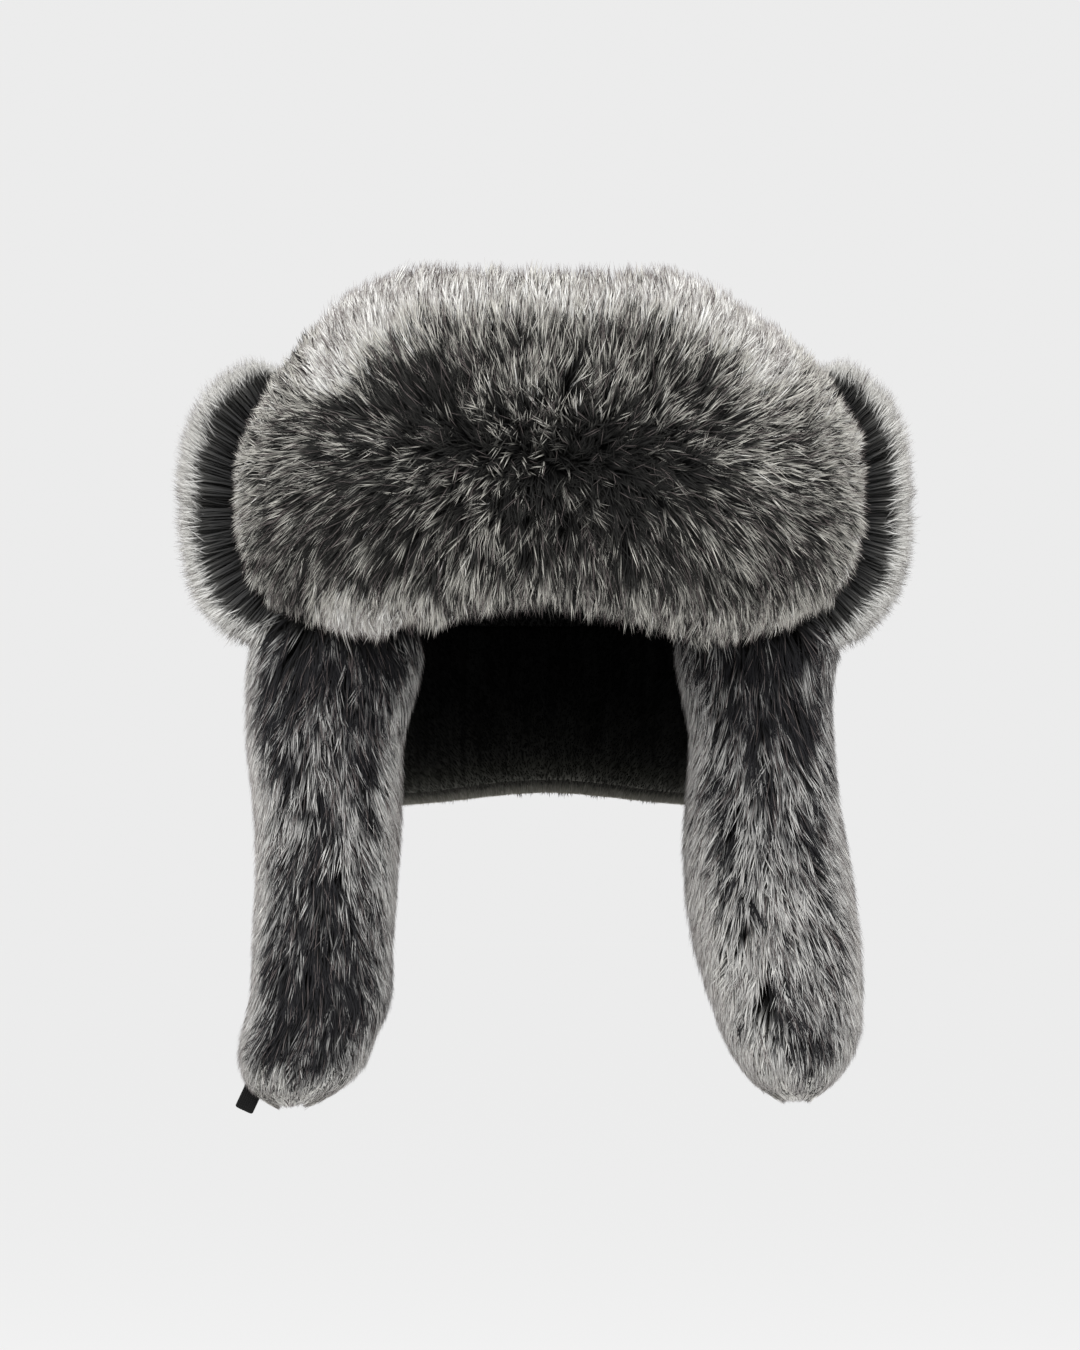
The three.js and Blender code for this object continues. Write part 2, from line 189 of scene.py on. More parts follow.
def joined(chunks):
    points, corners, sizes, places = zip(*chunks)
    before = np.cumsum([0] + [len(p) for p in points[:-1]])
    corners = [c + count for c, count in zip(corners, before)]
    return [np.concatenate(parts) for parts in (points, corners, sizes, places)]


def make_piece(name, chunks, material, nodes=(), uv_name="OFBake"):
    """One mesh made of chunks and the CAD nodes that it replaces."""
    points, corners, sizes, places = joined(chunks)
    mesh = bpy.data.meshes.new(name)
    mesh.vertices.add(len(points))
    mesh.vertices.foreach_set("co", (points * MM).astype(np.float32).reshape(-1))
    mesh.loops.add(len(corners))
    mesh.loops.foreach_set("vertex_index", corners.astype(np.int32))
    mesh.polygons.add(len(sizes))
    mesh.polygons.foreach_set("loop_start", (np.cumsum(sizes) - sizes).astype(np.int32))
    mesh.uv_layers.new(name=uv_name).uv.foreach_set("vector", places.astype(np.float32).reshape(-1))
    mesh.polygons.foreach_set("use_smooth", np.ones(len(sizes), bool))
    mesh.materials.append(material)
    mesh.update(calc_edges=True)
    mesh.validate()
    piece = bpy.data.objects.new(name, mesh)
    bpy.context.scene.collection.objects.link(piece)
    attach(piece, "root")
    if nodes:
        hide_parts(*nodes)
    return piece


def unit(vectors):
    return vectors / np.maximum(np.linalg.norm(vectors, axis=-1, keepdims=True), 1e-9)


def ramp01(value, low, high):
    """0 below low, 1 above high, and smooth between them."""
    t = np.clip((value - low) / (high - low), 0, 1)
    return t * t * (3 - 2 * t)


def cuff_roll(turn, lift, share):
    """The cuff's roll, whose top falls towards the crown, most of all beside the front flap."""
    point = full_cuff_roll(turn, lift, share)
    beside_front = 0.5 + 0.5 * ramp01(np.abs(turn - 180), 60, 95)
    fall = CUFF_FALL["depth"] * beside_front * ramp01(lift, CUFF_FALL["from"], CUFF_FALL["to"])
    point[..., 2] -= fall * share**2
    return point


# Fur. Its map has the tone of a strand across it and the way from root to tip up it, so its colour
# depends on the map alone.

def tangents(place, u, v, share=1.0):
    """The ways of a surface's two coordinates, in millimetres for each degree or millimetre of them."""
    return (place(u + 0.5, v, share) - place(u - 0.5, v, share),
            place(u, v + 0.5, share) - place(u, v - 0.5, share))


def lengths(vectors):
    return np.maximum(np.linalg.norm(vectors, axis=-1), 0.2)


def spread_places(place, count, u_range, v_range, density=None, cells=90):
    """Random places spread evenly over a surface, or by a density."""
    u = np.linspace(*u_range, cells + 1)
    v = np.linspace(*v_range, cells + 1)
    mu, mv = np.meshgrid((u[1:] + u[:-1]) / 2, (v[1:] + v[:-1]) / 2, indexing="ij")
    along_u, along_v = tangents(place, mu, mv, 0.9)
    weight = lengths(along_u) * lengths(along_v) * (1 if density is None else density(mu, mv))
    cell = rng.choice(mu.size, count, p=weight.reshape(-1) / weight.sum())
    return (
        mu.reshape(-1)[cell] + (rng.random(count) - 0.5) * (u[1] - u[0]),
        mv.reshape(-1)[cell] + (rng.random(count) - 0.5) * (v[1] - v[0]),
    )


CLUMP_PARTS = 12  # the locks are gathered part by part, to save memory


def clumps(spots, ways, size, stretch):
    """Each lock's clump and that clump's middle lock. Clumps are longer along the hair."""
    middles = rng.choice(len(spots), max(len(spots) // size, 1), replace=False)
    centres = spots[middles]
    clump = []
    for part in np.array_split(np.arange(len(spots)), CLUMP_PARTS):
        spot, way = spots[part], ways[part]
        gap = (spot**2).sum(1)[:, None] + (centres**2).sum(1) - 2 * spot @ centres.T
        along = (spot * way).sum(1)[:, None] - way @ centres.T
        clump.append((gap - (1 - 1 / stretch**2) * along**2).argmin(1))
    clump = np.concatenate(clump)
    return clump, middles[clump]


DARK_TONE, LEAST_TONE, LOOSE_TONE = 0.008, 0.004, 0.97
LIGHT_TONES = (0.24, 0.58)  # a light lock's tone where the fur is dark, and what lighter fur adds to it
PALE_FROM, FRINGE_FROM = 0.5, 0.94  # where on the map the pale and the brown strands start
SEEN = 0.7  # how far along a strand its bright part lies
VARIETY = {"length": 0.12, "lock": 0.1, "strand": 0.22, "tip": 0.01, "place": 0.03}  # how far they differ
EDGE_SHADE, LOOSE_SHADE = 0.2, 0.02  # how much lighter one edge of a strand is than its middle
WIDTHS, LOOSE_WIDTH = (0.7, 1.3), 0.7  # shares of the width
RIBBON_TURN = 0.25
MAP_START, MAP_SPAN = 0.02, 0.96  # a strand's root and its length on the map


def strands(place, locks, each, u_range, v_range, comb, tone, width, root=0.7, tips=(0.95, 0.992),
            loose_tips=(0.98, 1.02), fringe=0.06, spread=1.1, gather=0.5, ruffle=1.2, levels=3,
            limits=None, density=None, bend=1.6, curl=2.0, clump=14, stretch=2.2, pull=0.35,
            stray=None, patchy=1.0, mottled=0.35, uneven=0.014):
    """Tapered strands that stand in locks, and the locks in clumps.

    comb gives the lean along the surface, in millimetres, and tone how light the fur is, from 0 to 1:
    some locks are dark, and the others tipped. fringe is the share of loose brown strands, or a function
    that gives it. Locks lean over by stray, and towards the middle of their clump by pull. mottled is
    how far a clump is dark or light as a whole, and uneven how far the clumps' heights differ."""
    u, v = spread_places(place, locks, u_range, v_range, density)
    along_u, along_v = tangents(place, u, v)
    du, dv = lengths(along_u), lengths(along_v)
    lean_u, lean_v = comb(u, v)
    spots = place(u, v, 1.0)
    ways = unit(along_u * (lean_u / du)[:, None] + along_v * (lean_v / dv)[:, None])
    member, middle = clumps(spots, ways, clump, stretch)
    clump_count = member.max() + 1

    swing = 0.2 if stray is None else stray(u, v)
    angle = rng.normal(0, 1, clump_count)[member] * swing + rng.normal(0, 1, locks) * swing
    sine, cosine = np.sin(angle), np.cos(angle)
    lean_u, lean_v = lean_u * cosine - lean_v * sine, lean_u * sine + lean_v * cosine
    length = 1 + rng.normal(0, VARIETY["length"], locks)
    apart = spots[middle] - spots
    apart -= ways * (apart * ways).sum(-1, keepdims=True)
    end_u = u + lean_u * length / du + pull * (apart * along_u).sum(-1) / du**2
    end_v = v + lean_v * length / dv + pull * (apart * along_v).sum(-1) / dv**2

    seen = u + SEEN * (end_u - u), v + SEEN * (end_v - v)
    share_light = tone(*(limits[1](*seen) if limits else seen))
    luck = mottled * rng.random(clump_count)[member] + (1 - mottled) * rng.random(locks)
    luck = 0.5 + patchy * (luck - 0.5)
    light = ramp01(0.15 + share_light - luck, -0.1, 0.1)
    light_tone = LIGHT_TONES[0] + LIGHT_TONES[1] * share_light
    lock_tone = DARK_TONE + (light_tone - DARK_TONE) * light
    lock_tone = lock_tone * np.exp(rng.normal(0, VARIETY["lock"], locks))
    lock_tip = rng.uniform(*tips, locks) + rng.normal(0, uneven, clump_count)[member]

    # The strands of each lock
    count = locks * each
    lock = np.repeat(np.arange(locks), each)
    away_u, away_v = rng.normal(0, spread, count) / du[lock], rng.normal(0, spread, count) / dv[lock]
    u0, v0 = u[lock] + away_u, v[lock] + away_v
    u1, v1 = end_u[lock] + gather * away_u, end_v[lock] + gather * away_v
    u1 = u1 + rng.normal(0, ruffle, count) / du[lock]
    v1 = v1 + rng.normal(0, ruffle, count) / dv[lock]
    tip = lock_tip[lock] + rng.normal(0, VARIETY["tip"], count)
    loose = rng.random(count) < (fringe(u0, v0) if callable(fringe) else fringe)
    tip = np.where(loose, rng.uniform(*loose_tips, count), tip)
    if limits:
        (u0, v0), (u1, v1) = limits[0](u0, v0), limits[1](u1, v1)

    way = np.linspace(0, 1, levels)
    side_way, rise = way**bend, 1 - (1 - way) ** 1.5
    share = root + (tip[:, None] - root) * rise
    line = place(u0[:, None] + (u1 - u0)[:, None] * side_way,
                 v0[:, None] + (v1 - v0)[:, None] * side_way, share)
    outward = unit(place(u1, v1, 1.0) - place(u1, v1, 0.6))
    aside = unit(np.cross(line[:, -1] - line[:, 0], outward))
    curve = rng.normal(0, curl, locks)[lock] + rng.normal(0, 0.4 * curl, count)
    line = line + (curve[:, None] * (way**2 - 0.6 * way))[..., None] * aside[:, None]

    # A ribbon along each, turned at random about its own line
    along = unit(np.gradient(line, axis=1))
    across = unit(np.cross(along, outward[:, None]))
    over = np.cross(along, across)
    roll_angle = rng.normal(0, RIBBON_TURN, count)[:, None, None]
    across = across * np.cos(roll_angle) + over * np.sin(roll_angle)
    taper = np.sqrt(1 - way**2) * (0.75 + 0.25 * np.sin(np.pi * way))
    half = width / 2 * np.where(loose, LOOSE_WIDTH, rng.uniform(*WIDTHS, count))[:, None] * taper
    left, right = line - across * half[..., None], line + across * half[..., None]
    last = levels - 1
    sides = np.stack([left[:, :last], right[:, :last]], 2).reshape(count, -1, 3)
    points = np.concatenate([sides, line[:, last:]], 1)
    size = 2 * last + 1
    quads = [(2 * i, 2 * i + 1, 2 * i + 3, 2 * i + 2) for i in range(last - 1)]
    face = np.array([c for q in quads for c in q] + [2 * last - 2, 2 * last - 1, 2 * last])
    corners = (np.arange(count)[:, None] * size + face).reshape(-1)
    sizes = np.tile([4] * (last - 1) + [3], count)

    strand_tone = lock_tone[lock] * np.exp(rng.normal(0, VARIETY["strand"], count))
    strand_tone = np.where(loose, LOOSE_TONE, np.clip(strand_tone, LEAST_TONE, FRINGE_FROM - 0.03))
    shade = np.where(loose, LOOSE_SHADE, EDGE_SHADE) * rng.choice([-1, 1], count)
    map_u = np.concatenate([np.tile([-1, 1], last), [0]])
    map_u = strand_tone[:, None] * (1 + shade[:, None] * map_u[face])
    map_u = np.where(loose[:, None], map_u, np.minimum(map_u, FRINGE_FROM - 0.01))
    way_up = np.concatenate([np.repeat(way[:last], 2), [1]])
    shift = rng.normal(0, VARIETY["place"], locks)[lock] + rng.normal(0, VARIETY["place"], count)
    map_v = way_up * MAP_SPAN + MAP_START + shift[:, None] * np.sin(np.pi * way_up)
    places = np.stack([map_u, map_v[:, face]], -1)
    return points.reshape(-1, 3), corners, sizes, places.reshape(-1, 2)


def blades(root, tip, half, places):
    """A triangle for each short hair, with half its width and its corners' places on the map."""
    side = unit(np.cross(tip - root, np.array([0, 0, 1.0]))) * half
    points = np.stack([root - side, root + side, tip], 1).reshape(-1, 3)
    return points, np.arange(len(points)), np.full(len(root), 3), places.reshape(-1, 2)


LUMPS = 0.03  # how uneven the wool is, as a share of its depth
WOOL_TONES, WOOL_HEIGHTS = (0.03, 0.06), (0.005, 0.03)  # where the wool lies on the map


def undercoat(place, u_values, v_values, share, wrap=False):
    """The dark wool that the strands stand in, closed at its ends. share is a function of the place."""
    mu, mv = np.meshgrid(u_values, v_values, indexing="ij")
    lumps = 1 + LUMPS * np.sin(mu * 0.9 + mv * 0.31) * np.sin(mv * 0.47 - mu * 0.23)
    points = place(mu, mv, share(mu, mv) * lumps)
    if wrap:
        points = points.transpose(1, 0, 2)
    points = np.concatenate([points, points[:, :1]], 1)  # a roll is closed along its backing too
    for end in (0, -1):
        cap = np.broadcast_to(points[end].mean(0), points[end].shape)[None]
        points = np.concatenate([cap, points] if end == 0 else [points, cap])
    rows, columns = points.shape[:2]
    tones, heights = np.linspace(*WOOL_TONES, rows), np.linspace(*WOOL_HEIGHTS, columns)
    return sheet_chunk(points, np.stack(np.meshgrid(tones, heights, indexing="ij"), -1))


def even(share):
    return lambda u, v: share


def thicker_below(share, more, first, last):
    """Wool that reaches farther out under a roll, between those lifts."""
    return lambda turn, lift: share + more * ramp01(-lift, first, last)


def hanging(reach):
    """A comb straight down."""
    return lambda turn, lift: (np.zeros_like(turn), np.full_like(turn, -reach))


# Materials

def new_material(name, roughness, specular):
    material = bpy.data.materials.new(name)
    material.use_nodes = True
    tree = material.node_tree
    shader = tree.nodes["Principled BSDF"]
    shader.inputs["Roughness"].default_value = roughness
    shader.inputs["Specular IOR Level"].default_value = specular
    return material, tree.nodes, tree.links.new, shader


def new_node(nodes, kind, values=()):
    """A shader node of a kind, with the values of its inputs."""
    node = nodes.new("ShaderNode" + kind)
    for name, value in dict(values).items():
        node.inputs[name].default_value = value
    return node


def map_node(nodes, name):
    node = new_node(nodes, "UVMap")
    node.uv_map = name
    return node.outputs[0]


def math_node(nodes, link, operation, *inputs):
    """An operation on numbers and on other nodes' outputs."""
    node = new_node(nodes, "Math")
    node.operation = operation
    for socket, value in zip(node.inputs, inputs):
        if isinstance(value, float):
            socket.default_value = value
        else:
            link(value, socket)
    return node.outputs[0]


def colour_ramp(nodes, stops):
    """A colour ramp of places from 0 to 1 and their colours."""
    node = new_node(nodes, "ValToRGB")
    elements = node.color_ramp.elements
    while len(elements) < len(stops):
        elements.new(0.5)
    for element, (position, colour) in zip(elements, stops):
        element.position = position
        element.color = (*colour, 1)
    return node


def grey(value, warm=0.0):
    return value * (1 + 0.3 * warm), value, value * (1 - warm)


def fur_material(name, dark, tipped, pale):
    """Fur whose map goes across from dark strands by light-tipped ones to pale ones and brown ones."""
    material, nodes, link, shader = new_material(name, 0.65, 0.1)
    split = new_node(nodes, "SeparateXYZ")
    link(map_node(nodes, "OFBake"), split.inputs[0])
    colour = None
    steps = ((dark, None), (tipped, (0, PALE_FROM)), (pale, (PALE_FROM, FRINGE_FROM)),
             (FUR_BROWN, (FRINGE_FROM, FRINGE_FROM + 0.005)))
    for stops, tones in steps:
        ramp = colour_ramp(nodes, stops)
        link(split.outputs[1], ramp.inputs[0])
        if tones is None:
            colour = ramp.outputs[0]
            continue
        factor = new_node(nodes, "MapRange", {"From Min": tones[0], "From Max": tones[1]})
        link(split.outputs[0], factor.inputs["Value"])
        mix = new_node(nodes, "Mix")
        mix.data_type = "RGBA"
        link(factor.outputs[0], mix.inputs[0])
        link(colour, mix.inputs[6])
        link(ramp.outputs[0], mix.inputs[7])
        colour = mix.outputs[2]
    link(colour, shader.inputs["Base Color"])
    return material


# Colours from a strand's root to its tip
FUR_DARK = [(0, grey(0.003)), (0.5, grey(0.004)), (0.8, grey(0.009)), (1, grey(0.020, 0.05))]
FUR_BLUE = [
    (0, grey(0.003)), (0.5, grey(0.004)), (0.8, (0.008, 0.008, 0.010)), (1, (0.018, 0.018, 0.022)),
]
BROWN_TIP, PALE_TIP, PALE_END = (0.19, 0.166, 0.161), (0.38, 0.35, 0.34), (0.26, 0.232, 0.225)
FUR_BROWN = [
    (0, grey(0.004)), (0.5, grey(0.02, 0.05)), (0.8, (0.13, 0.11, 0.107)), (1, (0.18, 0.154, 0.15)),
]
front_fur = fur_material(
    "silver_fur", FUR_DARK,
    [(0, grey(0.004)), (0.46, grey(0.008)), (0.60, grey(0.14, 0.10)), (0.74, grey(0.56, 0.09)),
     (0.85, grey(0.56, 0.09)), (1, BROWN_TIP)],
    [(0, grey(0.01)), (0.17, grey(0.10)), (0.28, grey(0.54, 0.05)), (0.40, grey(0.93, 0.025)),
     (0.77, grey(0.92, 0.025)), (0.87, (0.25, 0.226, 0.22)), (1, (0.12, 0.104, 0.1))])
cuff_hair = fur_material(
    "silver_fur_long", FUR_DARK,
    [(0, grey(0.006)), (0.48, grey(0.016)), (0.65, grey(0.14, 0.05)), (0.78, grey(0.50, 0.06)),
     (0.86, grey(0.50, 0.06)), (1, BROWN_TIP)],
    [(0, grey(0.03)), (0.34, grey(0.065)), (0.51, grey(0.13, 0.05)), (0.68, grey(0.84, 0.03)),
     (0.875, grey(0.86, 0.03)), (0.95, PALE_TIP), (1, PALE_END)])
ear_fur = fur_material(
    "silver_fur_hanging", FUR_BLUE,
    [(0, grey(0.004)), (0.46, grey(0.008)), (0.60, grey(0.14, 0.01)), (0.75, grey(0.54, 0.03)),
     (0.86, grey(0.54, 0.03)), (1, BROWN_TIP)],
    [(0, grey(0.01)), (0.15, grey(0.06)), (0.32, grey(0.40, 0.04)), (0.48, grey(0.76, 0.06)),
     (0.8, grey(0.78, 0.06)), (0.9, PALE_TIP), (1, PALE_END)])
dark_fur = fur_material(
    "dark_fur", FUR_DARK,
    [(0, grey(0.004)), (0.5, grey(0.008)), (0.8, grey(0.08, 0.10)), (1, grey(0.12, 0.14))],
    [(0, grey(0.004)), (0.5, grey(0.02)), (0.8, grey(0.32, 0.12)), (1, grey(0.66, 0.12))])


def patched(tone, x, z, patches):
    """A tone with round patches added or taken away, each at x and z, with its radius and change."""
    for at_x, at_z, radius, change in patches:
        tone = tone + change * np.exp(-((x - at_x) ** 2 + (z - at_z) ** 2) / radius**2)
    return np.clip(tone, 0.03, 1.3)


def painted_rim_light(points, outline, reach, inset=0.0, outer_reach=8.0):
    """Painted rim light: 1 at an inset from an outline, as the front shows it, and less farther in or out.
    """
    gap = np.linalg.norm(points[..., None, [0, 2]] - outline[:, [0, 2]], axis=-1).min(-1) - inset
    return np.exp(-((gap / np.where(gap < 0, outer_reach, reach)) ** 2))


def eased_clip(value, first, last, over):
    """Keeps a value between first and last, which it may pass by less than over."""
    if not over:
        return np.clip(value, first, last)
    past = np.maximum(value - last, 0) - np.maximum(first - value, 0)
    return np.clip(value, first, last) + np.sign(past) * over * (1 - np.exp(-np.abs(past) / over))


MOST_LIFT = 88  # where the strands nearest a roll's backing stand


def roll_limits(first, last, over):
    """Where a roll's strands start and end: their tips may hang over its ends by some degrees."""
    def limit(past):
        return lambda turn, lift: (eased_clip(turn, first, last, past), np.clip(lift, -MOST_LIFT, MOST_LIFT))

    return limit(0), limit(over)


# The front flap's fur, combed out from a swirl above the brow
SWIRL = {"turn": 0.5, "z": 59, "mm_per_turn": 2.35, "across": 110, "up": 45}
FRONT_LEAN = (7, 9)  # how far the fur leans at the swirl, and how much more at the flap's edges
FRONT_END = 79.6
OVERHANG = 3.2  # how far tips may hang over a roll's ends


def from_swirl(turn, lift):
    z = front_roll(turn, lift, 1.0)[..., 2]
    side = (turn - SWIRL["turn"]) * SWIRL["mm_per_turn"] / SWIRL["across"]
    rise = (z - SWIRL["z"]) / SWIRL["up"]
    return side, rise, np.maximum(np.hypot(side, rise), 0.01)


def front_comb(turn, lift):
    side, rise, far = from_swirl(turn, lift)
    reach = FRONT_LEAN[0] + FRONT_LEAN[1] * ramp01(far, 0.1, 1.1)
    room = np.clip((83 - np.abs(turn)) / 9, 0.3, 1)
    return reach * side / far * room, reach * rise / far


def front_fringe(turn, lift):
    """The share of loose brown hairs, which is highest on top, behind the outline."""
    return 0.055 + 0.28 * ramp01(lift, 68, 84)


def front_stray(turn, lift):
    """How untidy the locks are, which is most at the swirl."""
    return 0.2 + 0.8 * np.exp(-((from_swirl(turn, lift)[2] / 0.45) ** 2))


# Darker and lighter patches: x, z, radius, change of tone. The strongly lighter ones near the top and the
# one at the bottom left edge are painted highlights.
FRONT_PATCHES_AND_HIGHLIGHTS = [
    (-50, 94, 16, -0.32), (41, 100, 10, -0.02), (66, 101, 8, -0.12), (10, 52, 24, -0.20),
    (42, 58, 22, -0.19), (-45, 60, 24, -0.11), (-86, 88, 8, -0.12), (8, 24, 26, -0.08),
    # the lighter patches at (-76, 129), (60, 124), (-62, 127) and (-84, 2) are painted highlights
    (-82, 50, 18, -0.06), (8, 100, 20, 0.09), (-76, 129, 13, 0.6), (60, 124, 14, 0.3),
    (-62, 127, 14, 0.32), (-45, 14, 22, 0.08), (-84, 2, 7, 0.3),
]
ALONG = np.linspace(-79, 79, 120)
UP_ENDS = np.linspace(-70, 70, 40)
FRONT_TOP, FRONT_BOTTOM = [front_roll(ALONG, np.full(len(ALONG), lift), 1.0) for lift in (80.0, -80.0)]
FRONT_ENDS = np.concatenate([front_roll(np.full(len(UP_ENDS), end), UP_ENDS, 1.0) for end in (-79.0, 79.0)])


def front_tone(turn, lift):
    """Pale along the top and, on the left, the bottom, and darker at the swirl. The pale bands along the
    outlines are painted rim light over the fur's own light tips, and the slight lightening higher up is
    painted light from above.
    """
    spot = front_roll(turn, lift, 1.0)
    x, z = spot[..., 0], spot[..., 2]
    # the 0.06 step higher up is painted light from above
    tone = 0.21 + 0.06 * ramp01(z, 70, 100) + 0.13 * ramp01(x, 65, 95) * ramp01(z, 38, 62)
    top = 0.8 + 0.62 * ramp01(np.abs(x), 25, 55) - 0.2 * ramp01(x, 84, 100) - 0.5 * ramp01(-x, 82, 98)
    inset = 6.5 - 3 * ramp01(np.abs(x), 80, 98)
    reach = 8.5 - 2.2 * ramp01(np.abs(x), 25, 55) - 2 * ramp01(np.abs(x), 80, 98)
    # painted rim light: pale bands along the top, the ends and the bottom, as the front shows them
    tone = tone + top * painted_rim_light(spot, FRONT_TOP, reach, inset)
    ends = 0.2 * np.where(x < 0, ramp01(z, 12, 40), 1)
    tone = tone + ends * painted_rim_light(spot, FRONT_ENDS, 9)
    tone = tone + 0.3 * ramp01(np.abs(turn), 75, 80)  # mostly the sides show this
    bottom = 0.2 + 0.6 * ramp01(-x, 40, 75) - 0.72 * ramp01(-x, 88, 104) + 0.05 * ramp01(x, 40, 90)
    return patched(tone + bottom * painted_rim_light(spot, FRONT_BOTTOM, 9), x, z, FRONT_PATCHES_AND_HIGHLIGHTS)


def underfur_tone(turn, lift):
    return 0.85 * front_tone(turn, lift)


front_settings = {
    "u_range": (-79.5, 79.5), "v_range": (-88, 88), "comb": front_comb, "stray": front_stray,
    "limits": roll_limits(-FRONT_END, FRONT_END, OVERHANG), "uneven": 0.02, "pull": 0.5,
    "mottled": 0.4, "clump": 10,
}
front_wool = undercoat(front_roll, np.linspace(-79.4, 79.4, 60), np.linspace(-89, 89, 24), even(0.68))
underfur = strands(front_roll, locks=9000, each=3, width=1.0, root=0.6, tips=(0.8, 0.92), fringe=0,
                   spread=1.3, tone=underfur_tone, **front_settings)
make_piece("front_flap_underfur", [front_wool, underfur], front_fur, ["front_flap_fur"])
guard_hair = strands(front_roll, locks=20000, each=3, width=0.75, tips=(0.93, 0.99),
                     loose_tips=(0.975, 1.025), fringe=front_fringe, tone=front_tone, **front_settings)
make_piece("front_flap_guard_hair", [guard_hair], front_fur, ["front_flap_fur"])


# The cuff's fur. Beside the front flap it stands straight out.
CUFF_ENDS = (80.6, 279.4)
CUFF_LEAN = {"forward": 11, "up": 15, "up at the ends": 0.25}


def cuff_comb(turn, lift):
    side = (turn - 180) / 100
    room = 1 - ramp01(np.abs(side), 0.84, 0.97)
    forward = CUFF_LEAN["forward"] * np.tanh(side * 2.5) * room + 2.5 * (1 - room) * np.sign(side)
    less = CUFF_LEAN["up at the ends"]
    return forward, 4 + CUFF_LEAN["up"] * np.tanh((lift + 20) / 45) * (less + (1 - less) * room)


def cuff_tone(turn, lift):
    side = np.abs(turn - 180)
    ends = 0.4 * ramp01(side, 76, 95) + 0.5 * ramp01(side, 92, 98)
    return 0.36 + 0.22 * ramp01(lift, 25, 75) + ends + 0.05 * np.sin(turn * 0.21) * np.sin(lift * 0.07)


def cuff_density(turn, lift):
    return 1 + 1.8 * ramp01(np.abs(turn - 180), 86, 98)


cuff_wool = undercoat(cuff_roll, np.linspace(81, 279, 80), np.linspace(-88, 89, 30),
                      thicker_below(0.64, 0.18, 20, 75))
cuff_strands = strands(cuff_roll, locks=19000, each=3, u_range=CUFF_ENDS, v_range=(-84, 88),
                       comb=cuff_comb, tone=cuff_tone, width=0.75, root=0.62, ruffle=3.6, pull=0.1,
                       limits=roll_limits(*CUFF_ENDS, OVERHANG), density=cuff_density)
make_piece("cuff_fur_hair", [cuff_wool, cuff_strands], cuff_hair, ["cuff_fur"])


# The ear flaps' fur hangs, and parts to both sides of each flap's middle. These are the heights and
# tones down the middle.
EAR_TONES = {
    "ear_flap_left": [(-204, 0.60), (-188, 0.35), (-172, 0.14), (-150, 0.12), (-122, 0.20), (-98, 0.31),
                      (-72, 0.31), (-52, 0.22), (-30, 0.13), (0, 0.10)],
    "ear_flap_right": [(-202, 0.68), (-185, 0.45), (-150, 0.43), (-110, 0.40), (-85, 0.31), (-60, 0.21),
                       (-35, 0.14), (0, 0.10)],
}
EAR_RIM_LIGHT = {  # painted rim light: how much lighter the outer and inner edges are, and over how many millimetres
    "ear_flap_left": ((0.52, 6), (0.36, 7)),
    "ear_flap_right": ((0.27, 6), (0.34, 11)),
}
EAR_PATCHES = {  # x, z, radius, change of tone
    "ear_flap_left": [
        (-114, -193, 5, 0.4), (-110, -82, 9, 0.12), (-75, -20, 12, -0.1), (-98, -172, 16, -0.06),
    ],
    "ear_flap_right": [
        (112, -176, 10, -0.22), (84, -48, 10, -0.1), (96, -60, 10, 0.08), (78, -138, 16, 0.12),
    ],
}
EAR_LEAN = {"aside": 10, "down": 23}


def make_ear(name):
    place, middle_tone, edges = ears[name], smooth(EAR_TONES[name]), EAR_RIM_LIGHT[name]
    lowest = EAR_ROWS[name][-1][0]
    heights = np.linspace(lowest, -4, 90)
    right, left = [place(np.full(len(heights), angle), heights, 1.0) for angle in (0.0, 180.0)]
    outlines = (left, right) if "left" in name else (right, left)

    def comb(angle, z):
        return -EAR_LEAN["aside"] * np.sin(np.radians(2 * angle)), np.full_like(z, -EAR_LEAN["down"])

    def tone(angle, z):
        spot = place(angle, z, 1.0)
        # painted rim light: paler along the outer and inner outlines, as the front shows them, over the
        # fur's own tone down the middle
        outer, inner = [more * painted_rim_light(spot, line, reach) for line, (more, reach) in zip(outlines, edges)]
        tone = middle_tone(z)[0] + np.maximum(outer, inner * ramp01(-z, 0, 20))
        return patched(tone, spot[..., 0], z, EAR_PATCHES[name])

    def limit(angle, z):
        """Strands that would hang below the flap's tip end near it, not all at one height."""
        below = np.maximum(lowest + 6 - z, 0)
        return angle, np.where(below > 0, lowest + 6 - 10.5 * (1 - np.exp(-below / 16)), z)

    wool = undercoat(place, np.arange(0, 360, 12), np.linspace(lowest + 8, -3, 40), even(0.7), wrap=True)
    hair = strands(place, locks=15500, each=3, u_range=(0, 360), v_range=(lowest + 4, 6), comb=comb,
                   tone=tone, width=0.9, limits=(limit, limit), bend=1.2, clump=12, stretch=3,
                   mottled=0.5, patchy=0.95)
    make_piece(name + "_fur", [wool, hair], ear_fur, [name])


for ear_name in ears:
    make_ear(ear_name)


# The darker fur outside the neck flap, with an even lower edge
NECK_ENDS = (112, 248)
neck_low, neck_edge_at = smooth(NECK_FUR), smooth(NECK_EDGE)


def inner_rim(count):
    """The short hair on the inside of the neck fur's lowest edge, below the cloth."""
    turn = rng.uniform(*NECK_ENDS, count)
    low, cloth = neck_low(turn)[0], neck_edge_at(turn)[0]
    z = low + 1.5 + (cloth + 2 - low) * rng.random(count)
    root = around(HEAD, turn, np.full(count, NECK_WALL + 0.5), z)
    stand = rng.uniform(0.5, 2.5, count)
    tip = around(HEAD, turn, stand, np.maximum(z - rng.uniform(3, 6, count), low + 0.2))
    half = rng.uniform(0.3, 0.5, count)[:, None]
    # painted light and shade: the hair is lightest at the lowest edge and darker higher up inside the hat
    tone = np.clip(1.08 - (z - low) / 14 + rng.normal(0, 0.05, count), 0.4, 0.92)
    up = np.clip(0.95 - (z - low) / 60, 0.6, 1)[:, None] + np.array([0, 0, 0.04])
    return blades(root, tip, half, np.stack([tone[:, None] + np.zeros(3), up], -1))


